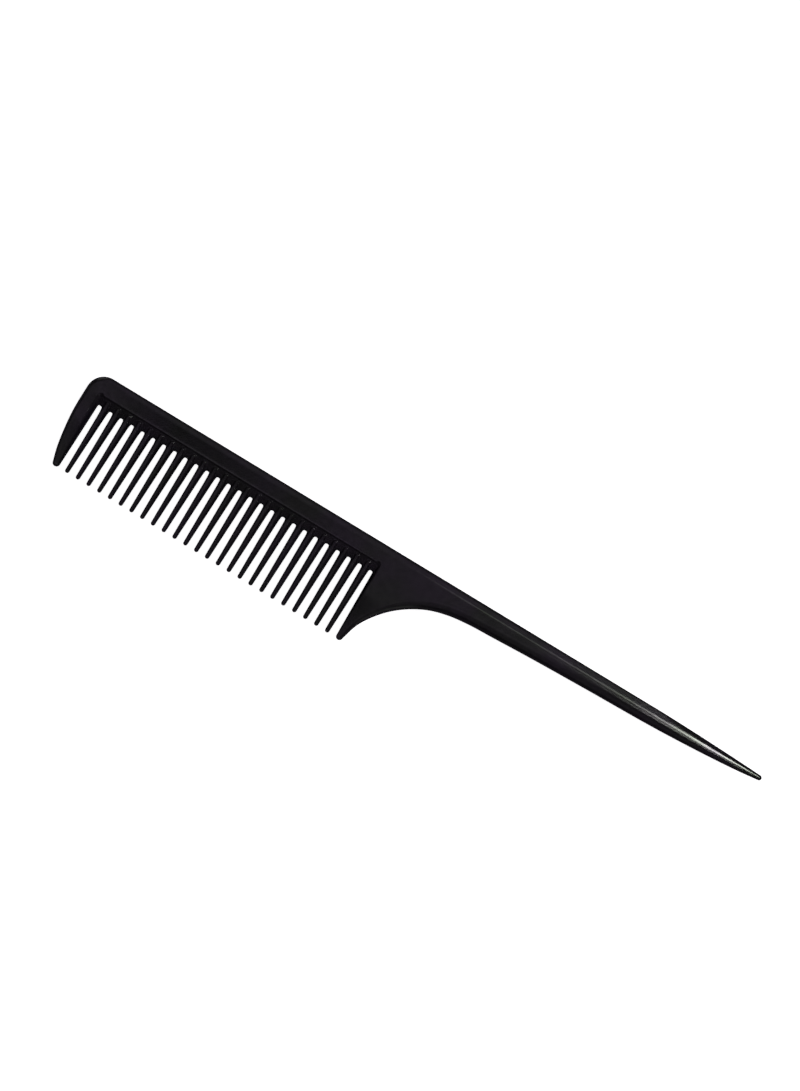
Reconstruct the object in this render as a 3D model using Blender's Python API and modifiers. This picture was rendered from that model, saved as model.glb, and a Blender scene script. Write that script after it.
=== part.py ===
"""Rat tail comb: a one-piece black plastic moulding, 220 mm long, with 25 teeth.

The moulding is divided into the regions that a person would name: spine, recessed web, front guard tooth,
25 teeth, heel, tail grip, tail shank and tail tip. Neighbouring regions meet on flat planes.

Drawing axes: x runs from the front end to the tail's tip, y is 0 on the top edge and negative towards the
tooth tips, and z is 0 on the mid-plane between the two faces. The empty comb_frame carries this drawing to
its place: lying flat on z = 0, with the middle of the bounding box above the origin.
"""

import math

import bmesh
import bpy
from mathutils import Vector

MM = 0.001

# Overall sizes
LENGTH = 220 * MM
HEAD_DEPTH = 30 * MM
THICKNESS = 4 * MM
HALF = THICKNESS / 2
SEAM = 0.02 * MM  # clearance between two neighbouring regions

# Teeth
TOOTH_COUNT = 25
PITCH = 3.65 * MM
FIRST_TOOTH_X = 8.07 * MM
TOOTH_TIP = -29.9 * MM
TOOTH_ROOT_RADIUS = 1.2 * MM
TOOTH_WAIST_RADIUS = 1.04 * MM
TOOTH_END_RADIUS = 0.62 * MM
TOOTH_WAIST_DEPTH = 2.5 * MM  # below the root
TOOTH_ROUNDING = [(1, 0.65 * MM), (0.8, 0.28 * MM), (0.45, 0.07 * MM)]  # share of end radius, height over tip
TOOTH_SIDES = 6
TOOTH_FLATTENING = 1.5  # a tooth is this much deeper from face to face than a regular hexagon

# Recess that holds the web, between the guard teeth
RECESS_START_X = 5.42 * MM
RECESS_END_X = 98.05 * MM
RECESS_TOP = -5.95 * MM
SLOT_TOP = -8.5 * MM
SLOT_CORNER = 0.45 * MM
ROOT_LINE = SLOT_TOP - SLOT_CORNER  # where the teeth leave the web
WEB_THICKNESS = 1.5 * MM  # at the tooth roots
WEB_SLOPE = 0.18  # rise of each face from the tooth roots up to the shoulder
RIB_TOP = -6.1 * MM
RIB_RADIUS = 1.12 * MM
RIB_ROUNDING = [(0, 0), (0.7 * MM, 0.15 * MM), (1 * MM, 0.6 * MM)]  # radius, depth below the rib's top

# Widths of the rounded or sloping bands between the silhouette and the flat faces
EDGE_BAND = 1.9 * MM
THROAT_BAND = 1.6 * MM
FLANK_BAND = 1.3 * MM
SHOULDER_BAND = 0.7 * MM
TIP_BAND = 0.9 * MM
TIP_FLANK_BAND = 0.35 * MM
TAIL_TIP_BAND = 0.68 * MM

# Rounds in the outline: radius, and where the centre is
FRONT_CORNER_RADIUS = 5.4 * MM
GUARD_TIP_RADIUS = 1.1 * MM
GUARD_TIP_X = 4.15 * MM
HEEL_TIP_RADIUS = 0.98 * MM
HEEL_TIP_X = 99.55 * MM
TAIL_TIP_RADIUS = 0.75 * MM
TAIL_TIP_Y = -1.67 * MM

# Points in mm that the outline's free curves pass through, walked clockwise
GUARD_OUTER_POINTS = [(2, -25.6), (0.72, -18.7), (0.14, -13.5), (0, -10.5)]
TAIL_TOP_POINTS = [(188, 0), (198, -0.18), (207.2, -0.45), (213.7, -0.68)]
TAIL_UNDER_POINTS = [(213.6, -3.12), (203.8, -4), (190.7, -4.85)]
GRIP_UNDER_POINTS = [(165, -5.7), (148, -6.32), (136, -6.92), (129, -7.27)]
THROAT_POINTS = [(122.6, -8.1), (117, -9.75), (112.4, -12.2), (108.5, -15.2), (104.9, -19.2), (102.1, -23.8)]
CURVE_STEPS = 3  # short straight edges between two of these points

# Planes between regions
GUARD_TOP = -7 * MM
HEEL_START_X = 97.5 * MM
TAIL_START_X = 122 * MM
SHANK_START_X = 165 * MM
TAIL_TIP_START_X = 205 * MM

# Thinning of the guard teeth towards their ends and of the tail towards its tip
GUARD_THINNING_START = -14 * MM
GUARD_END_SHARE = 0.45
TAIL_END_SHARE = 0.4

# Height of the side face against its distance from the silhouette, both as shares
ROUND_PROFILE = [(1 - math.cos(a), math.sin(a)) for a in map(math.radians, (30, 60, 90))]
FLANK_PROFILE = [(0.04, 0.3), (0.5, 0.65), (1.0, 1.0)]

BLACK = (0.012, 0.012, 0.014, 1)


def clear_scene():
    for old in list(bpy.data.objects):
        bpy.data.objects.remove(old, do_unlink=True)


def new_collection(name, hidden=False):
    collection = bpy.data.collections.new(name)
    bpy.context.scene.collection.children.link(collection)
    collection.hide_render = hidden
    return collection


def black_plastic(name):
    material = bpy.data.materials.new(name)
    material.use_nodes = True
    shader = material.node_tree.nodes["Principled BSDF"]
    shader.inputs["Base Color"].default_value = BLACK
    shader.inputs["Roughness"].default_value = 0.35
    shader.inputs["Metallic"].default_value = 0.0
    material.diffuse_color = BLACK
    return material


def new_object(name, mesh, collection, frame):
    obj = bpy.data.objects.new(name, mesh)
    collection.objects.link(obj)
    obj.parent = frame
    return obj


def shade_round(mesh):
    mesh.shade_smooth()
    mesh.set_sharp_from_angle(angle=math.radians(35))


# ---- outline of the frame: every part of the comb but the web and the teeth ----


def arc(centre, radius, start, end, steps):
    """Points on a circle, from the angle start to the angle end in degrees."""
    angles = [math.radians(start + (end - start) * i / steps) for i in range(steps + 1)]
    return [centre + radius * Vector((math.cos(a), math.sin(a))) for a in angles]


def smooth_curve(points_mm):
    """A smooth curve through the points."""
    knots = [Vector(point) * MM for point in points_mm]
    chords = [(b - a).length for a, b in zip(knots, knots[1:])]
    slopes = [(b - a) / c for a, b, c in zip(knots, knots[1:], chords)]
    tangents = [slopes[0]]
    for i in range(1, len(slopes)):
        before, after = chords[i - 1], chords[i]
        tangents.append((slopes[i - 1] * after + slopes[i] * before) / (before + after))
    tangents.append(slopes[-1])
    points = []
    for i, chord in enumerate(chords):
        for step in range(CURVE_STEPS):
            u = step / CURVE_STEPS
            points.append(
                knots[i] * (1 + 2 * u) * (1 - u) ** 2
                + tangents[i] * chord * u * (1 - u) ** 2
                + knots[i + 1] * u * u * (3 - 2 * u)
                + tangents[i + 1] * chord * u * u * (u - 1)
            )
    return points + [knots[-1]]


def edge_stretch(points, start_band, end_band, start_flank=0.0, end_flank=0.0):
    """(point, inset, flank share) along one stretch of the outline, walked clockwise seen from above."""
    lengths = [0.0]
    for a, b in zip(points, points[1:]):
        lengths.append(lengths[-1] + (b - a).length)
    rows = []
    for i, point in enumerate(points):
        way = (points[min(i + 1, len(points) - 1)] - points[max(i - 1, 0)]).normalized()
        share = lengths[i] / lengths[-1]
        band = start_band + (end_band - start_band) * share
        flank = start_flank + (end_flank - start_flank) * share
        rows.append((point, Vector((way.y, -way.x)) * band, flank))
    return rows


def join_stretches(stretches):
    """One closed outline. At a corner between two stretches, the inset runs to the mitre of their bands."""
    joined = []
    for i, rows in enumerate(stretches):
        point, inset, flank = rows[0]
        _, last_inset, last_flank = stretches[i - 1][-1]
        square = last_inset.normalized().dot(inset.normalized()) < 0.5
        meeting = last_inset + inset if square else (last_inset + inset) / 2
        joined.append((point, meeting, (flank + last_flank) / 2))
        joined += rows[1:-1]
    return joined


def frame_outline():
    guard_tip = Vector((GUARD_TIP_X, -HEAD_DEPTH + GUARD_TIP_RADIUS))
    heel_tip = Vector((HEEL_TIP_X, -HEAD_DEPTH + HEEL_TIP_RADIUS))
    tail_tip = Vector((LENGTH - TAIL_TIP_RADIUS, TAIL_TIP_Y))
    corner = Vector((FRONT_CORNER_RADIUS, -FRONT_CORNER_RADIUS))

    guard_end = arc(guard_tip, GUARD_TIP_RADIUS, 0, -158, 7)
    heel_end = arc(heel_tip, HEEL_TIP_RADIUS, -15, -180, 7)
    tail_end = arc(tail_tip, TAIL_TIP_RADIUS, 87, -83, 8)
    front_corner = arc(corner, FRONT_CORNER_RADIUS, 180, 90, 9)
    guard_outer = smooth_curve([guard_end[-1] / MM] + GUARD_OUTER_POINTS)
    tail_top = smooth_curve(TAIL_TOP_POINTS + [tail_end[0] / MM])
    under_points = [tail_end[-1] / MM] + TAIL_UNDER_POINTS + GRIP_UNDER_POINTS + THROAT_POINTS
    under = smooth_curve(under_points + [heel_end[0] / MM])
    grip_start = CURVE_STEPS * (1 + len(TAIL_UNDER_POINTS))
    throat_start = grip_start + CURVE_STEPS * len(GRIP_UNDER_POINTS)
    tail_under = under[: grip_start + 1]
    grip_under = under[grip_start : throat_start + 1]
    throat = under[throat_start:]
    spine_top = [front_corner[-1], Vector((TAIL_START_X, 0))]
    grip_top = [spine_top[-1], tail_top[0]]
    heel_inner = [heel_end[-1], Vector((RECESS_END_X, ROOT_LINE))]
    heel_recess = [heel_inner[-1], Vector((RECESS_END_X, RECESS_TOP))]
    shoulder = [heel_recess[-1], Vector((RECESS_START_X, RECESS_TOP))]
    guard_recess = [shoulder[-1], Vector((RECESS_START_X, ROOT_LINE))]
    guard_inner = [guard_recess[-1], guard_end[0]]
    guard_side = [guard_outer[-1], front_corner[0]]

    return join_stretches(
        [
            edge_stretch(guard_outer, TIP_BAND, EDGE_BAND),
            edge_stretch(guard_side, EDGE_BAND, EDGE_BAND),
            edge_stretch(front_corner, EDGE_BAND, EDGE_BAND),
            edge_stretch(spine_top, EDGE_BAND, EDGE_BAND),
            edge_stretch(grip_top, EDGE_BAND, THROAT_BAND),
            edge_stretch(tail_top, THROAT_BAND, TAIL_TIP_BAND),
            edge_stretch(tail_end, TAIL_TIP_BAND, TAIL_TIP_BAND),
            edge_stretch(tail_under, TAIL_TIP_BAND, THROAT_BAND),
            edge_stretch(grip_under, THROAT_BAND, THROAT_BAND),
            edge_stretch(throat, THROAT_BAND, TIP_BAND),
            edge_stretch(heel_end, TIP_BAND, TIP_FLANK_BAND, 0, 1),
            edge_stretch(heel_inner, TIP_FLANK_BAND, FLANK_BAND, 1, 1),
            edge_stretch(heel_recess, FLANK_BAND, FLANK_BAND, 1, 1),
            edge_stretch(shoulder, SHOULDER_BAND, SHOULDER_BAND, 1, 1),
            edge_stretch(guard_recess, FLANK_BAND, FLANK_BAND, 1, 1),
            edge_stretch(guard_inner, FLANK_BAND, TIP_FLANK_BAND, 1, 1),
            edge_stretch(guard_end, TIP_FLANK_BAND, TIP_BAND, 1, 0),
        ]
    )


def frame_blank():
    """The whole frame as one loft: rings that step in from the silhouette as they rise to each flat face."""
    outline = frame_outline()
    blank = bmesh.new()

    def ring(level, side):
        loop = []
        for point, inset, flank in outline:
            round_in, round_up = ROUND_PROFILE[level]
            flank_in, flank_up = FLANK_PROFILE[level]
            place = point + inset * (round_in + (flank_in - round_in) * flank)
            height = HALF * (round_up + (flank_up - round_up) * flank)
            loop.append(blank.verts.new((place.x, place.y, side * height)))
        return loop

    rings = [ring(level, -1) for level in reversed(range(len(ROUND_PROFILE)))]
    rings.append([blank.verts.new((point.x, point.y, 0)) for point, _, _ in outline])
    rings += [ring(level, 1) for level in range(len(ROUND_PROFILE))]
    for low, high in zip(rings, rings[1:]):
        for i in range(len(low)):
            blank.faces.new((low[i - 1], high[i - 1], high[i], low[i]))
    blank.faces.new(rings[0])
    blank.faces.new(reversed(rings[-1]))
    bmesh.ops.recalc_face_normals(blank, faces=blank.faces[:])
    return blank


# ---- cutting the frame into its regions ----


def cut(mesh, point, normal, keep_both=False):
    """Cuts along a plane. What is on the normal's side goes and the cut is closed, unless both sides stay."""
    geometry = mesh.verts[:] + mesh.edges[:] + mesh.faces[:]
    found = bmesh.ops.bisect_plane(
        mesh, geom=geometry, dist=1e-8, plane_co=point, plane_no=normal, clear_outer=not keep_both
    )
    if not keep_both:
        rim = [part for part in found["geom_cut"] if isinstance(part, bmesh.types.BMEdge)]
        bmesh.ops.edgeloop_fill(mesh, edges=rim)


def keep_x(mesh, low=None, high=None):
    if low is not None:
        cut(mesh, (low + SEAM / 2, 0, 0), (-1, 0, 0))
    if high is not None:
        cut(mesh, (high - SEAM / 2, 0, 0), (1, 0, 0))


def thin_guard(mesh):
    """Tapers a guard tooth from the full thickness to its thin end."""
    cut(mesh, (0, GUARD_THINNING_START, 0), (0, 1, 0), keep_both=True)
    span = HEAD_DEPTH + GUARD_THINNING_START
    for vert in mesh.verts:
        share = max(0.0, (GUARD_THINNING_START - vert.co.y) / span)
        vert.co.z *= 1 - (1 - GUARD_END_SHARE) * share


def thin_tail(mesh):
    """Tapers the tail's thickness evenly from its start to its tip."""
    for vert in mesh.verts:
        share = (vert.co.x - TAIL_START_X) / (LENGTH - TAIL_START_X)
        vert.co.z *= 1 - (1 - TAIL_END_SHARE) * max(0.0, share)


def cut_spine(mesh):
    keep_x(mesh, high=HEEL_START_X)
    cut(mesh, (0, GUARD_TOP + SEAM / 2, 0), (0, -1, 0))


def cut_front_guard_tooth(mesh):
    keep_x(mesh, high=LENGTH / 4)
    cut(mesh, (0, GUARD_TOP - SEAM / 2, 0), (0, 1, 0))
    thin_guard(mesh)


def cut_heel(mesh):
    keep_x(mesh, HEEL_START_X, TAIL_START_X)
    thin_guard(mesh)


def cut_tail_grip(mesh):
    keep_x(mesh, TAIL_START_X, SHANK_START_X)
    thin_tail(mesh)


def cut_tail_shank(mesh):
    keep_x(mesh, SHANK_START_X, TAIL_TIP_START_X)
    thin_tail(mesh)


def cut_tail_tip(mesh):
    keep_x(mesh, TAIL_TIP_START_X)
    thin_tail(mesh)


FRAME_REGIONS = {
    "spine": cut_spine,
    "front_guard_tooth": cut_front_guard_tooth,
    "heel": cut_heel,
    "tail_grip": cut_tail_grip,
    "tail_shank": cut_tail_shank,
    "tail_tip": cut_tail_tip,
}


def make_frame_region(name, cut_region, blank, parts, frame):
    region = blank.copy()
    cut_region(region)
    bmesh.ops.recalc_face_normals(region, faces=region.faces[:])
    mesh = bpy.data.meshes.new(name)
    region.to_mesh(mesh)
    region.free()
    shade_round(mesh)
    mesh.materials.append(black_plastic(name + "_plastic"))
    new_object(name, mesh, parts, frame)


# ---- teeth, ribs and web ----


def tooth_x(number):
    return FIRST_TOOTH_X + (number - 1) * PITCH


def turned_hexagon(name, profile, top, collection, frame):
    """A six-sided turned piece that hangs from y = top, flattened between the two faces of the comb.

    The profile holds (radius, distance below the top) pairs, from the axis at the top to the axis at the end.
    """
    mesh = bpy.data.meshes.new(name)
    corners = [(radius, 0, -depth) for radius, depth in profile]
    mesh.from_pydata(corners, [(i, i + 1) for i in range(len(corners) - 1)], [])
    obj = new_object(name, mesh, collection, frame)
    obj.location = (0, top, 0)
    obj.rotation_euler = (math.radians(-90), 0, 0)
    obj.scale = (1, TOOTH_FLATTENING, 1)
    screw = obj.modifiers.new("turn", "SCREW")
    screw.steps = TOOTH_SIDES
    screw.render_steps = TOOTH_SIDES
    screw.use_merge_vertices = True
    screw.merge_threshold = 1e-6
    screw.use_smooth_shade = False
    return obj


def make_teeth(parts, frame):
    top = ROOT_LINE - SEAM
    depth = top - TOOTH_TIP
    profile = [(0, 0), (TOOTH_ROOT_RADIUS, 0), (TOOTH_WAIST_RADIUS, TOOTH_WAIST_DEPTH)]
    profile += [(TOOTH_END_RADIUS * share, depth - height) for share, height in TOOTH_ROUNDING]
    profile.append((0, depth))
    first = turned_hexagon("tooth_01", profile, top, parts, frame)
    first.data.materials.append(black_plastic("tooth_plastic"))
    first.location.x = tooth_x(1)
    for number in range(2, TOOTH_COUNT + 1):
        tooth = first.copy()
        tooth.name = f"tooth_{number:02d}"
        tooth.location.x = tooth_x(number)
        parts.objects.link(tooth)


def web_outline():
    """The web from above: straight along the top, with round-cornered slot ends between the tooth roots."""
    points = [
        Vector((RECESS_START_X + SEAM, RECESS_TOP - SEAM)),
        Vector((RECESS_END_X - SEAM, RECESS_TOP - SEAM)),
        Vector((RECESS_END_X - SEAM, SLOT_TOP)),
    ]
    for number in range(TOOTH_COUNT, 0, -1):
        right = tooth_x(number) + TOOTH_ROOT_RADIUS
        left = tooth_x(number) - TOOTH_ROOT_RADIUS
        points += arc(Vector((right + SLOT_CORNER, ROOT_LINE)), SLOT_CORNER, 90, 180, 3)
        points += arc(Vector((left - SLOT_CORNER, ROOT_LINE)), SLOT_CORNER, 0, 90, 3)
    points.append(Vector((RECESS_START_X + SEAM, SLOT_TOP)))
    return points


def flat_plate(name, outline, thickness, collection, frame):
    """A closed plate of this outline, as a mesh that a modifier can cut or join."""
    curve = bpy.data.curves.new(name + "_outline", "CURVE")
    curve.dimensions = "2D"
    curve.fill_mode = "BOTH"
    curve.extrude = thickness / 2
    spline = curve.splines.new("POLY")
    spline.points.add(len(outline) - 1)
    for corner, point in zip(spline.points, outline):
        corner.co = (point.x, point.y, 0, 1)
    spline.use_cyclic_u = True
    drawn = bpy.data.objects.new(name + "_outline", curve)
    collection.objects.link(drawn)
    graph = bpy.context.evaluated_depsgraph_get()
    mesh = bpy.data.meshes.new_from_object(drawn.evaluated_get(graph))
    bpy.data.objects.remove(drawn)
    welded = bmesh.new()
    welded.from_mesh(mesh)
    bmesh.ops.remove_doubles(welded, verts=welded.verts[:], dist=1e-6)
    bmesh.ops.recalc_face_normals(welded, faces=welded.faces[:])
    welded.to_mesh(mesh)
    welded.free()
    mesh.name = name
    return new_object(name, mesh, collection, frame)


def make_web(parts, helpers, frame):
    """The thin recessed plate, thicker towards the spine, with a rib up both faces of it for each tooth."""
    web = flat_plate("web", web_outline(), WEB_THICKNESS, parts, frame)
    for vertex in web.data.vertices:
        vertex.co.z *= 1 + WEB_SLOPE * (vertex.co.y - ROOT_LINE) / (WEB_THICKNESS / 2)
    web.data.materials.clear()
    web.data.materials.append(black_plastic("web_plastic"))
    height = RIB_TOP - ROOT_LINE
    profile = RIB_ROUNDING + [(RIB_RADIUS, height), (0, height)]
    for number in range(1, TOOTH_COUNT + 1):
        rib = turned_hexagon(f"rib_{number:02d}", profile, RIB_TOP, helpers, frame)
        rib.location.x = tooth_x(number)
        rib.hide_render = True
        rib.display_type = "WIRE"
    join = web.modifiers.new("ribs", "BOOLEAN")
    join.operation = "UNION"
    join.solver = "EXACT"
    join.operand_type = "COLLECTION"
    join.collection = helpers


def main():
    clear_scene()
    parts = new_collection("rat_tail_comb")
    helpers = new_collection("rat_tail_comb_helpers", hidden=True)
    frame = bpy.data.objects.new("comb_frame", None)
    frame.location = (-LENGTH / 2, HEAD_DEPTH / 2, HALF)
    parts.objects.link(frame)
    blank = frame_blank()
    for name, cut_region in FRAME_REGIONS.items():
        make_frame_region(name, cut_region, blank, parts, frame)
    blank.free()
    make_web(parts, helpers, frame)
    make_teeth(parts, frame)


main()
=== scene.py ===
"""Looks of the rat tail comb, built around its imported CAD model.

The comb is one moulding of glossy black plastic. Its skin is drawn once, as a single seamless surface over
the whole outline, and then divided into the regions that the CAD model names. Each region becomes one closed
piece that stands for its CAD node. The pieces share the seamless skin's normals, so no division shows.

Drawing axes, in mm: x runs from the front end to the tail's tip, y is 0 on the top edge and negative towards
the tooth tips, and the height is half the local thickness, measured from the mid-plane to either face.
"""

import math

import bmesh
import bpy
import numpy as np
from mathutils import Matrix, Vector
from mathutils.geometry import delaunay_2d_cdt


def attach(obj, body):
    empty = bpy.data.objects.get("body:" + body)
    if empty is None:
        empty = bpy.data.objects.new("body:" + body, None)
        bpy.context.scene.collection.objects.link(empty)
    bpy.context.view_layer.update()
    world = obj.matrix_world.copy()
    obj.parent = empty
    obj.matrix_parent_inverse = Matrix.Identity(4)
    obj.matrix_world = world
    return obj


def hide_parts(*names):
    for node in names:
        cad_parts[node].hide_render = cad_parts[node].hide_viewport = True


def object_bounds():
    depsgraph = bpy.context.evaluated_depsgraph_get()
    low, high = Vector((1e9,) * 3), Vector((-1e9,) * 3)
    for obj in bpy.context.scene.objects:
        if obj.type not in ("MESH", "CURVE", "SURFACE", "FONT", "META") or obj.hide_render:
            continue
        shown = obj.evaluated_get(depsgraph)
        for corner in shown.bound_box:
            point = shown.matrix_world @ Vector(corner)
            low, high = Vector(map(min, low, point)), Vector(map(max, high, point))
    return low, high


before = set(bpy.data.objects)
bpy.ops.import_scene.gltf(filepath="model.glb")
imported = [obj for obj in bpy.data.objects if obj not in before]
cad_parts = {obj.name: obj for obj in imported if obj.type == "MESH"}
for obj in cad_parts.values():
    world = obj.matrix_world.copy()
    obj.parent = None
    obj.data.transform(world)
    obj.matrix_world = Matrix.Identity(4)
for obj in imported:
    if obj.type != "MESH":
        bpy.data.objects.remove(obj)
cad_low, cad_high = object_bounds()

MM = 0.001

# Overall sizes, in mm as are all the shape numbers below
LENGTH = 220
HEAD_DEPTH = 30
HALF_THICKNESS = 2

# Teeth, and the ribs that continue them up the web
TOOTH_COUNT = 25
PITCH = 3.65
FIRST_TOOTH_X = 8.07
TOOTH_TIP = -29.9
ROOT_LINE = -8.95
ROOT_HALF_WIDTH = 1.2
WAIST_HALF_WIDTH = 1.08
WAIST_LINE = -11.45
END_HALF_WIDTH = 0.67
END_LINE = -29.25  # where the rounding of the tooth's end starts
ROOT_FLARE = ROOT_HALF_WIDTH - WAIST_HALF_WIDTH
ROOT_FLARE -= (WAIST_HALF_WIDTH - END_HALF_WIDTH) * (ROOT_LINE - WAIST_LINE) / (WAIST_LINE - END_LINE)
ROOT_FLARE_LENGTH = 1.0
RIB_END_LINE = -6.9  # where the rounding of the rib's upper end starts
RIB_END_LENGTH = 0.8
RIB_NARROWING = 0.24
RIB_NARROWING_LENGTH = 1.0
HEIGHT_PER_HALF_WIDTH = 1.3
RIDGE_SHARE = 0.5  # flat part of a tooth's section
RIDGE_BLEND = 0.45
RIDGE_CROWN = 0.04  # fall of the ridge's top from its middle to the silhouette

# Recess, web and slots
RECESS_START_X = 5.42
RECESS_END_X = 98.05
RECESS_TOP = -5.95
RECESS_CORNER = 0.5
SLOT_CORNER = 0.45
WEB_HALF_THICKNESS = 0.75
WEB_SLOPE = 0.22  # rise of each face from the tooth roots up to the shoulder
WEB_EDGE_ROUNDING = 0.32
WEB_FADE_START = -8.6  # below this the web's thickness dies away into the teeth
WEB_FADE_LENGTH = 1.6
WEB_REACH = 2 * ROOT_LINE  # below this the guard teeth are clear of the web
UNION_SHARPNESS = 5

# Widths of the rounded or sloping bands between the silhouette and the flat faces
EDGE_BAND = 2.0
TAIL_BAND = 2.5
FRONT_BAND = 1.5
SHANK_BAND = 2.55
SHANK_UNDER_BAND = 2.1
GRIP_UNDER_BAND = 3.2
THROAT_BAND = 3.2
FLANK_BAND = 1.3
SHOULDER_BAND = 1.1
TIP_BAND = 0.9
TIP_FLANK_BAND = 0.35
TAIL_TIP_BAND = 0.68
TIP_TOP_BAND = 1.92
TIP_TOP_BAND_X = 203

# Sections of a band: the shares run from the silhouette to the flat face, the heights from 0 to the full one
BEVEL_SLOPE = 0.244  # fall in mm for each mm outwards
BEVEL_EDGE_SHARE = 0.42
BROW_SHARE = 0.8
BROW_BLEND = 0.1
EDGE_BLEND = 0.06
FOOT_SHARE = 0.03
FOOT_HEIGHT = 0.28
FLANK_RISE = 0.8
FLANK_BLEND = 0.24
WALL_RISE = 3
CHAMFER_RISE = 0.0825
CHAMFER_SHARE = 0.75
CHAMFER_BLEND = 0.01

# Weights of the four sections: plain round, bevel, flank and recess shoulder
ROUND = (1, 0, 0, 0)
BEVEL = (0, 1, 0, 0)
FLANK = (0, 0, 1, 0)
SHOULDER = (0, 0, 0, 1)

# Rounds in the outline: radius, and where the centre is
FRONT_CORNER_RADIUS = 5.4
GUARD_TIP_RADIUS = 1.1
GUARD_TIP_X = 4.15
HEEL_TIP_RADIUS = 0.98
HEEL_TIP_X = 99.55
TAIL_TIP_RADIUS = 0.75
TAIL_TIP_Y = -1.67

# Points that the outline's free curves pass through, walked clockwise
GUARD_OUTER_POINTS = [(2, -25.6), (0.72, -18.7), (0.14, -13.5), (0, -10.5)]
TAIL_TOP_POINTS = [(188, 0), (198, -0.18), (207.2, -0.45), (213.7, -0.68)]
UNDERSIDE_POINTS = [
    (213.6, -3.12),
    (203.8, -4),
    (190.7, -4.85),
    (165, -5.7),
    (148, -6.32),
    (136, -6.92),
    (129, -7.27),
    (122.6, -8.1),
    (117, -9.75),
    (112.4, -12.2),
    (108.5, -15.2),
    (104.9, -19.2),
    (102.1, -23.8),
]

UNDER_BAND_X = (118, 145, 190)  # where the width of the underside's band is set

# Planes between the regions
GUARD_TOP = -7
HEEL_START_X = 97.5
TAIL_START_X = 122
SHANK_START_X = 165
TAIL_TIP_START_X = 205

# Thinning of the guard teeth towards their ends and of the tail towards its tip
GUARD_THINNING_START = -14
GUARD_END_SHARE = 0.45
GUARD_THINNING_SOFTNESS = 0.12
TAIL_THINNING_START = 116
TAIL_END_SHARE = 0.4
TAIL_THINNING_SOFTNESS = 0.06

# Fineness of the mesh
CURVE_SPACING = 0.8
LINE_SPACING = 2.0
SHOULDER_SPACING = 0.33
ARC_STEP_DEG = 9
BAND_LEVELS = [0, 0.01, 0.03, 0.07, 0.13, 0.2, 0.3, 0.42, 0.54, 0.64, 0.7, 0.76, 0.82, 0.88, 0.94, 1]
TOOTH_LEVELS = [0.2, 0.38, 0.46, 0.54, 0.62, 0.74, 0.85, 0.93, 0.975, 1]
TOOTH_ROWS = [6.9, 7.3, 7.7, 8.05, 8.3, 8.5, 8.7, 8.95, 9.2, 9.5, 9.9, 10.4, 11, 11.7, 12.5]
TOOTH_ROWS += list(np.linspace(13.5, 29.25, 13))
TOOTH_END_STEPS = 10
SLOT_EDGE_LEVELS = [0, 0.03, 0.09, 0.18, 0.3]
SLOT_EDGE_REACH = 0.02
WEB_ROWS = [-6.02, -6.1, -6.25, -6.45, -6.7, -7, -7.35, -7.7, -8]
WEB_COLUMNS = 6
WEB_COLUMN_INSET = 0.14
WALL_FOOT_ROWS = [-6.0, -6.05]
WALL_FOOT_SPACING = 0.3
WALL_FOOT_INSET = 0.6
CUT_REACH = 8
ON_SILHOUETTE = 1e-6
MERGE_DISTANCE = 1e-5
TRIANGLES_INSIDE = 1  # the triangulation's output type
TINY = 1e-6

# Plastic: noise scales per metre, and the range that each noise gives
CLOUD_SCALE = 70
SPECKLE_SCALE = 700
GRAIN_SCALE = 2500
CLOUD_COLOURS = [(0.35, (0.0085, 0.008, 0.0085, 1)), (0.65, (0.0105, 0.0085, 0.013, 1))]
CLOUD_TINTS = [(0.38, (0.9, 0.99, 0.83, 1)), (0.62, (1, 0.93, 1, 1))]
CLOUD_ROUGHNESS = (0.13, 0.2)
SPECKLE_RANGE = (0.3, 0.7)
SPECKLE_SPECULAR = (0.42, 0.58)
GRAIN_STRENGTH = 0.25
GRAIN_DEPTH = 0.00001

# Surroundings, in metres
PAPER_COLOUR = (0.9, 0.9, 0.9, 1)
PAPER_ROUGHNESS = 0.9
DOME_RADIUS = 3
FLOOR_GAP = 0.0001
CEILING = 0.6  # height of the panels over the comb
SOFT_PURPLE = (0.98, 0.86, 1.09, 1)
WHITE = (1, 1, 1, 1)
HORIZON_GLOW = 0.14
SKY_GLOW = 0.05
SKY_STEEPNESS = 0.6  # sine of the angle, up or down, from which the glow is the sky's

# Softboxes beside the comb: place, size, radiance
FILL = ((0.5, 0.5, 0.3), 0.4, 5)
FAR_SIDE = ((-1.2, 1.2, 0.8), 0.9, 0.5)
NEAR_SIDE = ((1.2, -1.2, 0.5), 0.9, 0.25)

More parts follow.
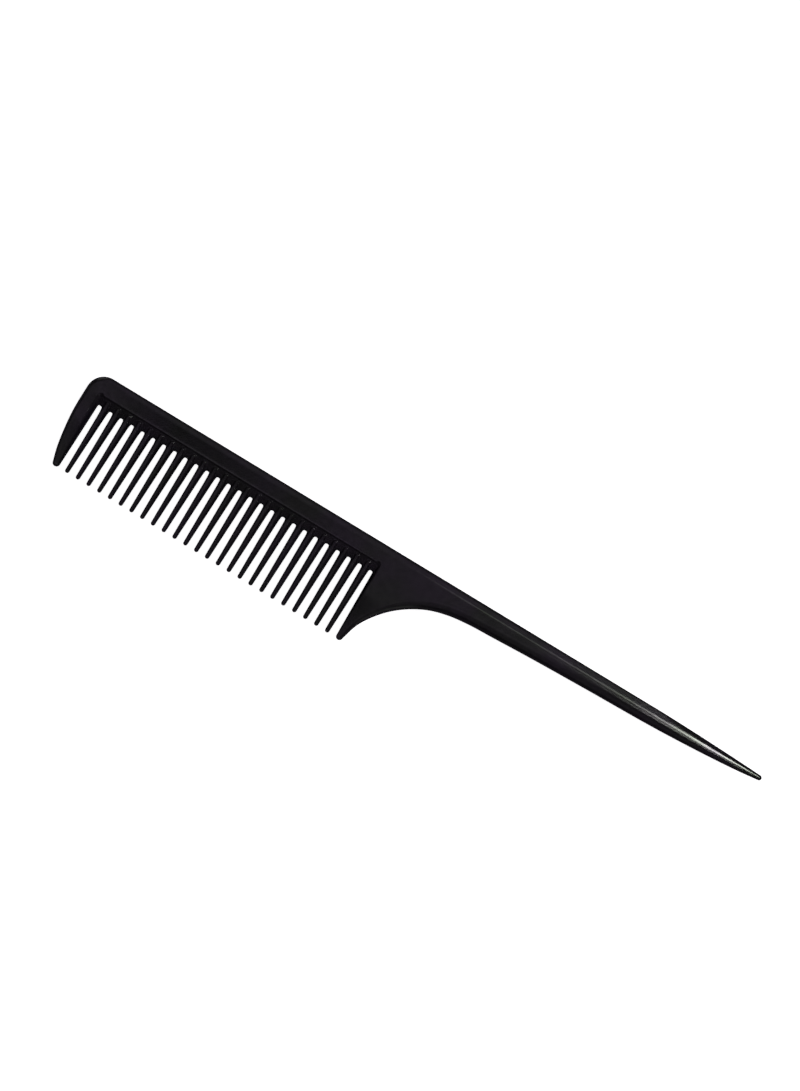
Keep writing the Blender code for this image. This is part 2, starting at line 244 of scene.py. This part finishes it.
# Panels over the comb, named after what reflects them: name, two corners, radiance, colour
CEILING_PANELS = [
    ("guard_panel", (-0.42, -0.2), (-0.268, 0.08), 0.34, SOFT_PURPLE),
    ("mid_face_panel", (-0.17, 0.015), (-0.1, 0.07), 0.12, SOFT_PURPLE),
    ("rear_face_panel", (-0.1, -0.02), (0.03, 0.07), 0.235, SOFT_PURPLE),
    ("tail_face_panel", (0.03, -0.02), (0.18, 0.07), 0.19, SOFT_PURPLE),
    ("heel_panel", (-0.06, -0.16), (0, -0.02), 0.22, SOFT_PURPLE),
    ("throat_panel", (0, -0.17), (0.11, -0.03), 0.36, SOFT_PURPLE),
    ("under_panel", (-0.03, -0.7), (0.45, -0.17), 0.15, SOFT_PURPLE),
    ("teeth_panel", (-0.268, -0.03), (-0.06, 0.01), 0.55, SOFT_PURPLE),
    ("shoulder_panel", (-0.268, -0.21), (-0.06, -0.12), 0.62, SOFT_PURPLE),
    ("brow_panel", (-0.42, 0.08), (-0.01, 0.25), 0.22, SOFT_PURPLE),
    ("bevel_panel", (-0.42, 0.25), (0.18, 0.45), 0.3, SOFT_PURPLE),
    ("tail_line_front", (-0.01, 0.11), (0.11, 0.21), 1.4, WHITE),
    ("tail_line_rear", (0.11, 0.11), (0.19, 0.21), 2.6, WHITE),
    ("tail_glint", (0.194, 0.075), (0.245, 0.3), 32, WHITE),
]

CAMERA_LENS = 50
CAMERA_SENSOR_WIDTH = 36
CAMERA_PLACE = (0.023, -0.0057, 0.4284)
CAMERA_TURN_DEG = (4.829, 2.124, 31.409)


# ---- outline, in plan ----


def arc(centre, radius, start, end):
    """Points on a circle, from the angle start to the angle end in degrees."""
    steps = max(4, round(abs(end - start) / ARC_STEP_DEG))
    angles = np.radians(np.linspace(start, end, steps + 1))
    return np.array(centre) + radius * np.column_stack([np.cos(angles), np.sin(angles)])


def line(start, end, spacing):
    """Evenly spaced points from start to end."""
    steps = max(1, round(math.dist(start, end) / spacing))
    share = np.linspace(0, 1, steps + 1)[:, None]
    return np.array(start) * (1 - share) + np.array(end) * share


def smooth_curve(knots):
    """A smooth curve through the knots."""
    knots = np.array(knots, float)
    chords = np.linalg.norm(np.diff(knots, axis=0), axis=1)
    slopes = np.diff(knots, axis=0) / chords[:, None]
    before, after = chords[:-1, None], chords[1:, None]
    inner = (slopes[:-1] * after + slopes[1:] * before) / (before + after)
    tangents = np.vstack([slopes[:1], inner, slopes[-1:]])
    points = []
    for i, chord in enumerate(chords):
        u = np.linspace(0, 1, max(2, round(chord / CURVE_SPACING)) + 1)[:-1, None]
        points.append(
            knots[i] * (1 + 2 * u) * (1 - u) ** 2
            + tangents[i] * chord * u * (1 - u) ** 2
            + knots[i + 1] * u * u * (3 - 2 * u)
            + tangents[i + 1] * chord * u * u * (u - 1)
        )
    return np.vstack(points + [knots[-1:]])


def frame_stretches():
    """The frame's outline, clockwise, without web and teeth: points, then band and section at each end."""
    guard_tip = (GUARD_TIP_X, -HEAD_DEPTH + GUARD_TIP_RADIUS)
    heel_tip = (HEEL_TIP_X, -HEAD_DEPTH + HEEL_TIP_RADIUS)
    tail_tip = (LENGTH - TAIL_TIP_RADIUS, TAIL_TIP_Y)
    corner = (FRONT_CORNER_RADIUS, -FRONT_CORNER_RADIUS)
    recess_rear = (RECESS_END_X - RECESS_CORNER, RECESS_TOP - RECESS_CORNER)
    recess_front = (RECESS_START_X + RECESS_CORNER, RECESS_TOP - RECESS_CORNER)

    guard_end = arc(guard_tip, GUARD_TIP_RADIUS, 0, -158)
    heel_end = arc(heel_tip, HEEL_TIP_RADIUS, -15, -180)
    tail_end = arc(tail_tip, TAIL_TIP_RADIUS, 87, -83)
    front_corner = arc(corner, FRONT_CORNER_RADIUS, 180, 90)
    guard_outer = smooth_curve([guard_end[-1]] + GUARD_OUTER_POINTS)
    tail_top = smooth_curve(TAIL_TOP_POINTS + [tail_end[0]])
    underside = smooth_curve([tail_end[-1]] + UNDERSIDE_POINTS + [heel_end[0]])
    rear_corner = arc(recess_rear, RECESS_CORNER, 0, 90)
    fore_corner = arc(recess_front, RECESS_CORNER, 90, 180)
    throat, grip, shank = (int(np.argmin(abs(underside[:, 0] - x))) for x in UNDER_BAND_X)
    tip = int(np.argmin(abs(tail_top[:, 0] - TIP_TOP_BAND_X)))
    rear_root = (RECESS_END_X, ROOT_LINE)
    fore_root = (RECESS_START_X, ROOT_LINE)
    recess_top = line(rear_corner[-1], fore_corner[0], SHOULDER_SPACING)

    return [
        (guard_outer, TIP_BAND, FRONT_BAND, ROUND, ROUND),
        (line(guard_outer[-1], front_corner[0], LINE_SPACING), FRONT_BAND, FRONT_BAND, ROUND, ROUND),
        (front_corner, FRONT_BAND, EDGE_BAND, ROUND, BEVEL),
        (line(front_corner[-1], (TAIL_START_X, 0), LINE_SPACING), EDGE_BAND, TAIL_BAND, BEVEL, BEVEL),
        (line((TAIL_START_X, 0), tail_top[0], LINE_SPACING), TAIL_BAND, SHANK_BAND, BEVEL, BEVEL),
        (tail_top[: tip + 1], SHANK_BAND, TIP_TOP_BAND, BEVEL, ROUND),
        (tail_top[tip:], TIP_TOP_BAND, TAIL_TIP_BAND, ROUND, ROUND),
        (tail_end, TAIL_TIP_BAND, TAIL_TIP_BAND, ROUND, ROUND),
        (underside[: shank + 1], TAIL_TIP_BAND, SHANK_UNDER_BAND, ROUND, ROUND),
        (underside[shank : grip + 1], SHANK_UNDER_BAND, GRIP_UNDER_BAND, ROUND, ROUND),
        (underside[grip : throat + 1], GRIP_UNDER_BAND, THROAT_BAND, ROUND, ROUND),
        (underside[throat:], THROAT_BAND, TIP_BAND, ROUND, ROUND),
        (heel_end, TIP_BAND, TIP_FLANK_BAND, ROUND, FLANK),
        (line(heel_end[-1], rear_root, CURVE_SPACING), TIP_FLANK_BAND, FLANK_BAND, FLANK, FLANK),
        (line(rear_root, rear_corner[0], SHOULDER_SPACING), FLANK_BAND, FLANK_BAND, FLANK, FLANK),
        (rear_corner, FLANK_BAND, SHOULDER_BAND, FLANK, SHOULDER),
        (recess_top, SHOULDER_BAND, SHOULDER_BAND, SHOULDER, SHOULDER),
        (fore_corner, SHOULDER_BAND, FLANK_BAND, SHOULDER, FLANK),
        (line(fore_corner[-1], fore_root, SHOULDER_SPACING), FLANK_BAND, FLANK_BAND, FLANK, FLANK),
        (line(fore_root, guard_end[0], CURVE_SPACING), FLANK_BAND, TIP_FLANK_BAND, FLANK, FLANK),
        (guard_end, TIP_FLANK_BAND, TIP_BAND, FLANK, ROUND),
    ]


def frame_rows():
    """One row for each outline point: place, inset to the flat face, and the shares of its band's shape."""
    places, bands, shapes = [], [], []
    for points, start_band, end_band, start_shape, end_shape in frame_stretches():
        steps = np.linalg.norm(np.diff(points, axis=0), axis=1)
        share = (np.concatenate([[0], np.cumsum(steps)]) / steps.sum())[:-1, None]
        places.append(points[:-1])
        bands.append(start_band + (end_band - start_band) * share)
        shapes.append(np.array(start_shape) * (1 - share) + np.array(end_shape) * share)
    places, bands, shapes = np.vstack(places), np.vstack(bands), np.vstack(shapes)
    way = np.roll(places, -1, axis=0) - np.roll(places, 1, axis=0)
    way /= np.linalg.norm(way, axis=1)[:, None]
    inset = np.column_stack([way[:, 1], -way[:, 0]]) * bands
    return places, inset, shapes


# ---- heights ----


def soft_start(share, softness):
    """Follows the share from 0 to 1, but leaves 0 without a crease."""
    share = np.clip(share, 0, None)
    return share * share * (1 + softness) / (share + softness)


def frame_half_thickness(x, y):
    """Half thickness at the flat faces, thinned along the guard teeth and the tail."""
    tail_share = (x - TAIL_THINNING_START) / (LENGTH - TAIL_THINNING_START)
    tail = soft_start(tail_share, TAIL_THINNING_SOFTNESS)
    guard_share = (GUARD_THINNING_START - y) / (HEAD_DEPTH + GUARD_THINNING_START)
    guard = soft_start(guard_share, GUARD_THINNING_SOFTNESS)
    return HALF_THICKNESS * (1 - (1 - TAIL_END_SHARE) * tail) * (1 - (1 - GUARD_END_SHARE) * guard)


def smooth_min(a, b, blend):
    """The smaller of two heights, rounded over where they are nearly equal."""
    overlap = np.clip(blend - abs(a - b), 0, None)
    return np.minimum(a, b) - overlap * overlap / (4 * blend)


def round_height(share):
    """Height share across a plain round, from the silhouette to the flat face."""
    return math.sqrt(1 - (1 - share) ** 2)


def bevel_height(share, fall):
    """Height share across a rounded edge, a bevel with this fall, and a crisp brow below the flat face."""
    edge = round_height(min(share / BEVEL_EDGE_SHARE, 1))
    bevel = 1 + fall * (share - BROW_SHARE)
    return smooth_min(smooth_min(edge, bevel, EDGE_BLEND), 1, BROW_BLEND * fall)


def foot_height(share):
    """Height share of the short upright foot of a flank or of the recess wall."""
    return FOOT_HEIGHT * math.sqrt(min(share / FOOT_SHARE, 1))


def flank_height(share):
    """Height share of a flank: its foot, a slope, and a soft brow where it meets the flat face."""
    return smooth_min(foot_height(share) + FLANK_RISE * share, 1, FLANK_BLEND)


def shoulder_height(share):
    """Height share above the recess: a steep wall, then a slight chamfer below the flat face."""
    wall = foot_height(share) + WALL_RISE * share
    chamfer = 1 + CHAMFER_RISE * (share - CHAMFER_SHARE)
    return smooth_min(smooth_min(wall, chamfer, EDGE_BLEND), 1, CHAMFER_BLEND)


def union(a, b):
    """Height of two shapes together, with a soft fillet where they cross."""
    return (a**UNION_SHARPNESS + b**UNION_SHARPNESS) ** (1 / UNION_SHARPNESS)


def tooth_half_width(y):
    """Half width of the plain taper, which sets the tooth's height."""
    taper = (WAIST_LINE - y) / (WAIST_LINE - END_LINE)
    return WAIST_HALF_WIDTH + (END_HALF_WIDTH - WAIST_HALF_WIDTH) * np.clip(taper, -1, 1)


def outline_half_width(y):
    """Half width in plan, flared at the root and narrowed again where the tooth becomes a rib."""
    flared = tooth_half_width(y) + ROOT_FLARE * np.exp(np.clip((y - ROOT_LINE) / ROOT_FLARE_LENGTH, None, 0))
    rib = np.clip((y - ROOT_LINE) / RIB_NARROWING_LENGTH, 0, 1)
    return flared * (1 - RIB_NARROWING * rib * rib * (3 - 2 * rib))


def nearest_tooth_x(x):
    """Middle of the tooth nearest to x."""
    number = np.clip(np.round((x - FIRST_TOOTH_X) / PITCH), 0, TOOTH_COUNT - 1)
    return FIRST_TOOTH_X + number * PITCH


def tooth_height(x, y):
    """Half thickness of the nearest tooth and its rib: a soft hexagon with rounded ends."""
    beyond = np.maximum((y - RIB_END_LINE) / RIB_END_LENGTH, (END_LINE - y) / (END_LINE - TOOTH_TIP))
    across = np.hypot((x - nearest_tooth_x(x)) / outline_half_width(y), np.clip(beyond, 0, None))
    flank = (1 - np.clip(across, 0, 1)) / (1 - RIDGE_SHARE)
    section = smooth_min(flank, 1 - RIDGE_CROWN * across**2, RIDGE_BLEND * np.clip(flank, 0, 1) + TINY)
    return HEIGHT_PER_HALF_WIDTH * tooth_half_width(y) * section


def slot_sides():
    """Left and right side of each slot between two teeth, or beside a guard tooth."""
    teeth = [FIRST_TOOTH_X + i * PITCH for i in range(TOOTH_COUNT)]
    lefts = [RECESS_START_X] + [x + ROOT_HALF_WIDTH for x in teeth]
    rights = [x - ROOT_HALF_WIDTH for x in teeth] + [RECESS_END_X]
    return list(zip(lefts, rights))


def slot_distance(x, y):
    """Distance from the nearest slot."""
    nearest = np.full(x.shape, np.inf)
    for left, right in slot_sides():
        sideways = np.maximum(left + SLOT_CORNER - x, x - right + SLOT_CORNER)
        upward = y - ROOT_LINE
        outside = np.hypot(np.clip(sideways, 0, None), np.clip(upward, 0, None))
        nearest = np.minimum(nearest, outside - SLOT_CORNER)
    return np.clip(nearest, 0, None)


def web_height(x, y):
    """Half thickness of the web, rounded at the slots and faded out where the teeth leave it."""
    half_thickness = WEB_HALF_THICKNESS + WEB_SLOPE * np.clip(y - ROOT_LINE, 0, None)
    rounding = np.clip(slot_distance(x, y) / WEB_EDGE_ROUNDING, 0, 1)
    fade = np.clip((WEB_FADE_START - y) / WEB_FADE_LENGTH, 0, 1)
    fade = 1 - fade * fade * (3 - 2 * fade)
    return half_thickness * np.sqrt(1 - (1 - rounding) ** 2) * fade


def toothed_height(x, y):
    """Half thickness of the web, ribs and teeth together."""
    return union(web_height(x, y), tooth_height(x, y))


# ---- the seamless skin ----


class Sketch:
    """Points with heights, and the lines that the triangles have to follow."""

    def __init__(self):
        self.points = []
        self.heights = []
        self.edges = []
        self.count = 0

    def add(self, points, heights, joined=True, closed=False):
        """Adds points, joined into a line, and closed into a loop where that is asked."""
        first = self.count
        self.points.append(points)
        self.heights.append(heights)
        self.count += len(points)
        if joined:
            self.edges += [(first + i, first + i + 1) for i in range(len(points) - 1)]
        if closed:
            self.edges.append((self.count - 1, first))


def sketch_frame(sketch):
    """Closed lines round the whole frame, from its silhouette in to its flat faces."""
    places, inset, shapes = frame_rows()
    bands = np.linalg.norm(inset, axis=1)
    beside_teeth = shapes[:, 2] + shapes[:, 3]
    by_recess = (beside_teeth > 0.5) & (places[:, 1] > WEB_REACH)
    over_web = (beside_teeth > 1 - TINY) & (places[:, 1] > ROOT_LINE + TINY)
    for share in BAND_LEVELS:
        points = places + inset * share
        full = frame_half_thickness(*points.T)
        bevel = bevel_height(share, BEVEL_SLOPE * bands / full)
        plain = [round_height(share), flank_height(share), shoulder_height(share)]
        heights = full * (shapes[:, [0, 2, 3]] @ plain + shapes[:, 1] * bevel)
        heights = np.where(by_recess, np.maximum(heights, web_height(*points.T)), heights)
        if share == 0:
            heights[~over_web] = 0
        sketch.add(points, heights, closed=True)


def tooth_loop(x, level):
    """One closed line at the same share of the way out from a tooth's middle to its silhouette."""
    rows = -np.array(TOOTH_ROWS)
    half_widths = outline_half_width(rows) * level
    right = np.column_stack([x + half_widths, rows])
    left = np.column_stack([x - half_widths, rows])[::-1]
    turns = np.radians(np.linspace(0, 180, TOOTH_END_STEPS + 1))[1:-1]
    end = (END_LINE - TOOTH_TIP) * level
    around_tip = np.column_stack([x + half_widths[-1] * np.cos(turns), END_LINE - end * np.sin(turns)])
    around_rib = np.column_stack(
        [x - half_widths[0] * np.cos(turns), RIB_END_LINE + RIB_END_LENGTH * level * np.sin(turns)]
    )
    return np.vstack([right, around_tip, left, around_rib])


def sketch_teeth(sketch):
    """Closed lines over every tooth and its rib, its middle line, and the line across its root."""
    for number in range(TOOTH_COUNT):
        x = FIRST_TOOTH_X + number * PITCH
        for level in TOOTH_LEVELS:
            loop = tooth_loop(x, level)
            heights = toothed_height(*loop.T)
            if level == 1:
                heights[loop[:, 1] <= ROOT_LINE] = 0
            sketch.add(loop, heights, closed=True)
        middle = np.column_stack([np.full(len(TOOTH_ROWS), x), -np.array(TOOTH_ROWS)])
        sketch.add(middle, toothed_height(*middle.T))
        root = np.array([(x - ROOT_HALF_WIDTH, ROOT_LINE), (x + ROOT_HALF_WIDTH, ROOT_LINE)])
        sketch.add(root, np.zeros(2))


def sketch_slots(sketch):
    """The closed top of each slot, and points over the web and its rounded edge between the ribs."""
    for left, right in slot_sides():
        for inward in SLOT_EDGE_LEVELS:
            radius = SLOT_CORNER + inward
            rise = arc((left + SLOT_CORNER, ROOT_LINE), radius, 180, 90)
            fall = arc((right - SLOT_CORNER, ROOT_LINE), radius, 90, 0)
            top = np.vstack([rise, fall])
            if inward == 0:
                sketch.add(top, np.zeros(len(top)))
                continue
            clear = (top[:, 0] > left - SLOT_EDGE_REACH) & (top[:, 0] < right + SLOT_EDGE_REACH)
            sketch.add(top[clear], toothed_height(*top[clear].T), joined=False)
        columns = np.linspace(left + WEB_COLUMN_INSET, right - WEB_COLUMN_INSET, WEB_COLUMNS)
        grid = np.array([(x, y) for x in columns for y in WEB_ROWS])
        sketch.add(grid, toothed_height(*grid.T), joined=False)
    wall_foot = np.arange(RECESS_START_X + WALL_FOOT_INSET, RECESS_END_X - WALL_FOOT_INSET, WALL_FOOT_SPACING)
    for y in WALL_FOOT_ROWS:
        row = np.column_stack([wall_foot, np.full(len(wall_foot), y)])
        sketch.add(row, toothed_height(*row.T), joined=False)


def triangulate(sketch):
    """Plan, heights and triangles of the upper face, with heights for the points where lines cross."""
    points = np.vstack(sketch.points)
    heights = np.concatenate(sketch.heights)
    plan, _, found, sources, _, _ = delaunay_2d_cdt(
        [Vector(p) for p in points], sketch.edges, [], TRIANGLES_INSIDE, MERGE_DISTANCE, True
    )
    plan = np.array([tuple(v) for v in plan])
    made = np.array([heights[source[0]] if source else -1.0 for source in sources])
    new = made < 0
    made[new] = toothed_height(*plan[new].T)
    faces = [tuple(face) for face in found if made[list(face)].max() > ON_SILHOUETTE]
    return plan, made, faces


def cut_skin(plan, heights, faces):
    """Divides triangles along the planes between the frame's regions."""
    skin = bmesh.new()
    verts = [skin.verts.new((x, y, h)) for (x, y), h in zip(plan, heights)]
    for face in faces:
        skin.faces.new([verts[i] for i in face])
    starts = (HEEL_START_X, TAIL_START_X, SHANK_START_X, TAIL_TIP_START_X)
    planes = [(x, (x, 0, 0), (1, 0, 0)) for x in starts]
    planes.append((RECESS_START_X, (0, GUARD_TOP, 0), (0, 1, 0)))
    for near_x, point, normal in planes:
        near = [f for f in skin.faces if abs(f.calc_center_median().x - near_x) < CUT_REACH]
        around = {e for f in near for e in f.edges} | {v for f in near for v in f.verts}
        cut = near + list(around)
        bmesh.ops.bisect_plane(skin, geom=cut, dist=MERGE_DISTANCE, plane_co=point, plane_no=normal)
    bmesh.ops.triangulate(skin, faces=[f for f in skin.faces if len(f.verts) > 3])
    skin.verts.index_update()
    points = np.array([tuple(v.co) for v in skin.verts])
    triangles = np.array([[v.index for v in f.verts] for f in skin.faces])
    skin.free()
    a, b, c = (points[triangles[:, i]] for i in range(3))
    downward = np.cross(b - a, c - a)[:, 2] < 0
    triangles[downward] = triangles[downward][:, ::-1]
    return points, triangles


def skin_normals(points, triangles):
    """Normals weighted by area. On the silhouette, the mirrored half makes them level."""
    a, b, c = (points[triangles[:, i]] for i in range(3))
    across = np.cross(b - a, c - a)
    normals = np.zeros_like(points)
    for i in range(3):
        np.add.at(normals, triangles[:, i], across)
    normals[points[:, 2] < ON_SILHOUETTE, 2] = 0
    return normals / np.linalg.norm(normals, axis=1)[:, None]


# ---- pieces ----


def region_of(x, y):
    """The CAD node that a place on the skin belongs to."""
    inset = min(x - RECESS_START_X, RECESS_END_X - x)
    rise = y - RECESS_TOP + RECESS_CORNER
    in_corner = inset < RECESS_CORNER and rise > 0
    rounded_off = in_corner and math.hypot(inset - RECESS_CORNER, rise) > RECESS_CORNER
    if inset > 0 and ROOT_LINE < y < RECESS_TOP and not rounded_off:
        return "web"
    if y < ROOT_LINE and abs(x - nearest_tooth_x(x)) < PITCH / 2:
        return f"tooth_{round((x - FIRST_TOOTH_X) / PITCH) + 1:02d}"
    if x < HEEL_START_X:
        return "spine" if y > GUARD_TOP else "front_guard_tooth"
    if x < TAIL_START_X:
        return "heel"
    if x < SHANK_START_X:
        return "tail_grip"
    return "tail_shank" if x < TAIL_TIP_START_X else "tail_tip"


def close_piece(points, normals, triangles):
    """Vertices, faces and corner normals of one closed piece: both faces, and walls at the divisions."""
    used, corner = np.unique(triangles, return_inverse=True)
    corner = corner.reshape(-1, 3)
    tops, up = points[used], normals[used]
    raised = tops[:, 2] > ON_SILHOUETTE
    under = np.arange(len(used))
    under[raised] = len(used) + np.arange(raised.sum())
    mirror = np.array([1, 1, -1])
    verts = np.vstack([tops, tops[raised] * mirror])
    faces = [tuple(t) for t in corner] + [tuple(under[t[::-1]]) for t in corner]
    corner_normals = [up[i] for t in corner for i in t] + [up[i] * mirror for t in corner for i in t[::-1]]
    sides = {(t[i], t[(i + 1) % 3]) for t in corner for i in range(3)}
    for a, b in sides:
        if (b, a) in sides or not (raised[a] or raised[b]):
            continue
        wall = [b, a, under[a], under[b]]
        wall = [i for k, i in enumerate(wall) if i not in wall[:k]]
        faces.append(tuple(wall))
        way = tops[b] - tops[a]
        out = np.array([way[1], -way[0], 0]) / math.hypot(way[0], way[1])
        corner_normals += [out] * len(wall)
    return verts, faces, corner_normals


def make_pieces(points, triangles, material, low, high):
    """Divides the skin into one closed piece for each CAD node, placed in the box from low to high."""
    normals = skin_normals(points, triangles)
    centres = points[triangles].mean(axis=1)
    names = np.array([region_of(x, y) for x, y, _ in centres])
    origin = np.array([low.x, high.y, (low.z + high.z) / 2])
    for name in sorted(set(names)):
        verts, faces, corner_normals = close_piece(points, normals, triangles[names == name])
        mesh = bpy.data.meshes.new(name + "_skin")
        placed = origin + verts * MM
        mesh.from_pydata([tuple(v) for v in placed], [], [tuple(int(i) for i in f) for f in faces])
        mesh.shade_smooth()
        mesh.normals_split_custom_set([tuple(n) for n in corner_normals])
        mesh.materials.append(material)
        piece = bpy.data.objects.new(name + "_skin", mesh)
        bpy.context.scene.collection.objects.link(piece)
        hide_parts(name)
        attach(piece, "root")


# ---- material ----


def noise_at(tree, place, scale, detail):
    """Noise fixed to the comb, at a scale per metre."""
    noise = tree.nodes.new("ShaderNodeTexNoise")
    noise.inputs["Scale"].default_value = scale
    noise.inputs["Detail"].default_value = detail
    tree.links.new(place.outputs["Object"], noise.inputs["Vector"])
    return noise.outputs["Fac"]


def vary_colour(tree, noise, stops, socket):
    """Makes a colour run between two stops, each a noise value and its colour."""
    ramp = tree.nodes.new("ShaderNodeValToRGB")
    for element, (value, colour) in zip(ramp.color_ramp.elements, stops):
        element.position = value
        element.color = colour
    tree.links.new(noise, ramp.inputs["Fac"])
    tree.links.new(ramp.outputs["Color"], socket)


def vary_number(tree, noise, noise_range, number_range, socket):
    """Makes a number run over one range as the noise runs over the other."""
    scaled = tree.nodes.new("ShaderNodeMapRange")
    for name, value in zip(("From Min", "From Max", "To Min", "To Max"), noise_range + number_range):
        scaled.inputs[name].default_value = value
    tree.links.new(noise, scaled.inputs["Value"])
    tree.links.new(scaled.outputs["Result"], socket)


def black_plastic():
    """Glossy black plastic, faintly clouded in colour and gloss, with a fine moulded grain."""
    material = bpy.data.materials.new("black_plastic")
    material.use_nodes = True
    tree = material.node_tree
    shader = tree.nodes["Principled BSDF"]
    place = tree.nodes.new("ShaderNodeTexCoord")
    clouds = noise_at(tree, place, CLOUD_SCALE, 2)
    speckle = noise_at(tree, place, SPECKLE_SCALE, 3)
    grain = noise_at(tree, place, GRAIN_SCALE, 2)
    vary_colour(tree, clouds, CLOUD_COLOURS, shader.inputs["Base Color"])
    vary_colour(tree, clouds, CLOUD_TINTS, shader.inputs["Specular Tint"])
    vary_number(tree, speckle, SPECKLE_RANGE, SPECKLE_SPECULAR, shader.inputs["Specular IOR Level"])
    vary_number(tree, clouds, (0, 1), CLOUD_ROUGHNESS, shader.inputs["Roughness"])
    bump = tree.nodes.new("ShaderNodeBump")
    bump.inputs["Strength"].default_value = GRAIN_STRENGTH
    bump.inputs["Distance"].default_value = GRAIN_DEPTH
    tree.links.new(grain, bump.inputs["Height"])
    tree.links.new(bump.outputs["Normal"], shader.inputs["Normal"])
    return material


# ---- surroundings ----


def white_paper():
    """Paper that glows white, so that it looks evenly lit."""
    material = bpy.data.materials.new("white_paper")
    material.use_nodes = True
    shader = material.node_tree.nodes["Principled BSDF"]
    shader.inputs["Base Color"].default_value = PAPER_COLOUR
    shader.inputs["Roughness"].default_value = PAPER_ROUGHNESS
    shader.inputs["Emission Color"].default_value = WHITE
    shader.inputs["Emission Strength"].default_value = 1
    return material


def add_stage(name, built, height, material):
    """Adds a built mesh to the scene, where it neither lights the comb nor shows in its gloss."""
    mesh = bpy.data.meshes.new(name)
    built.to_mesh(mesh)
    built.free()
    mesh.materials.append(material)
    stage = bpy.data.objects.new(name, mesh)
    stage.location.z = height
    stage.visible_glossy = False
    stage.visible_diffuse = False
    stage.visible_shadow = False
    bpy.context.scene.collection.objects.link(stage)


def backdrop():
    """A white floor, and a white dome around it."""
    paper = white_paper()
    floor = bmesh.new()
    bmesh.ops.create_grid(floor, x_segments=1, y_segments=1, size=DOME_RADIUS)
    add_stage("floor", floor, -FLOOR_GAP, paper)
    dome = bmesh.new()
    bmesh.ops.create_uvsphere(dome, u_segments=48, v_segments=24, radius=DOME_RADIUS)
    add_stage("dome", dome, 0, paper)


def ceiling_light(name, low, high, radiance, colour):
    """A flat glowing panel over the comb, seen only as a reflection in the plastic."""
    data = bpy.data.lights.new(name, "AREA")
    data.shape = "RECTANGLE"
    data.size, data.size_y = high[0] - low[0], high[1] - low[1]
    data.energy = radiance * math.pi * data.size * data.size_y
    data.color = colour[:3]
    light = bpy.data.objects.new(name, data)
    light.location = ((low[0] + high[0]) / 2, (low[1] + high[1]) / 2, CEILING)
    light.visible_camera = False
    light.visible_diffuse = False
    bpy.context.scene.collection.objects.link(light)


def aimed_light(name, place, size, radiance):
    """A square softbox that faces the comb from the side."""
    data = bpy.data.lights.new(name, "AREA")
    data.size = size
    data.energy = radiance * math.pi * size * size
    light = bpy.data.objects.new(name, data)
    light.location = place
    light.rotation_euler = (-light.location).to_track_quat("-Z", "Y").to_euler()
    light.visible_camera = False
    bpy.context.scene.collection.objects.link(light)
    return light


def sky():
    """A dim world behind everything, brighter towards the horizon."""
    world = bpy.data.worlds.new("studio")
    world.use_nodes = True
    tree = world.node_tree
    background = tree.nodes["Background"]
    background.inputs["Color"].default_value = SOFT_PURPLE
    direction = tree.nodes.new("ShaderNodeTexCoord")
    split = tree.nodes.new("ShaderNodeSeparateXYZ")
    slope = tree.nodes.new("ShaderNodeMath")
    slope.operation = "ABSOLUTE"
    tree.links.new(direction.outputs["Generated"], split.inputs["Vector"])
    tree.links.new(split.outputs["Z"], slope.inputs[0])
    glow = background.inputs["Strength"]
    vary_number(tree, slope.outputs["Value"], (0, SKY_STEEPNESS), (HORIZON_GLOW, SKY_GLOW), glow)
    bpy.context.scene.world = world


def studio():
    """Soft light: the sky, three softboxes, and the panels that the comb's faces and edges reflect."""
    sky()
    fill = aimed_light("fill", *FILL)
    fill.visible_glossy = False
    for name, softbox in (("far_side", FAR_SIDE), ("near_side", NEAR_SIDE)):
        side = aimed_light(name, *softbox)
        side.visible_diffuse = False
    for panel in CEILING_PANELS:
        ceiling_light(*panel)


def camera():
    """A camera almost straight above the comb, turned so that the comb runs down to the right."""
    data = bpy.data.cameras.new("camera")
    data.lens = CAMERA_LENS
    data.sensor_width = CAMERA_SENSOR_WIDTH
    cam = bpy.data.objects.new("camera", data)
    cam.location = CAMERA_PLACE
    cam.rotation_euler = [math.radians(angle) for angle in CAMERA_TURN_DEG]
    bpy.context.scene.collection.objects.link(cam)
    bpy.context.scene.camera = cam


def comb(low, high):
    """The whole comb, in the box that the CAD model fills."""
    sketch = Sketch()
    sketch_frame(sketch)
    sketch_teeth(sketch)
    sketch_slots(sketch)
    points, triangles = cut_skin(*triangulate(sketch))
    make_pieces(points, triangles, black_plastic(), low, high)


comb(cad_low, cad_high)
backdrop()
studio()
camera()
bpy.context.scene.view_settings.view_transform = "Standard"
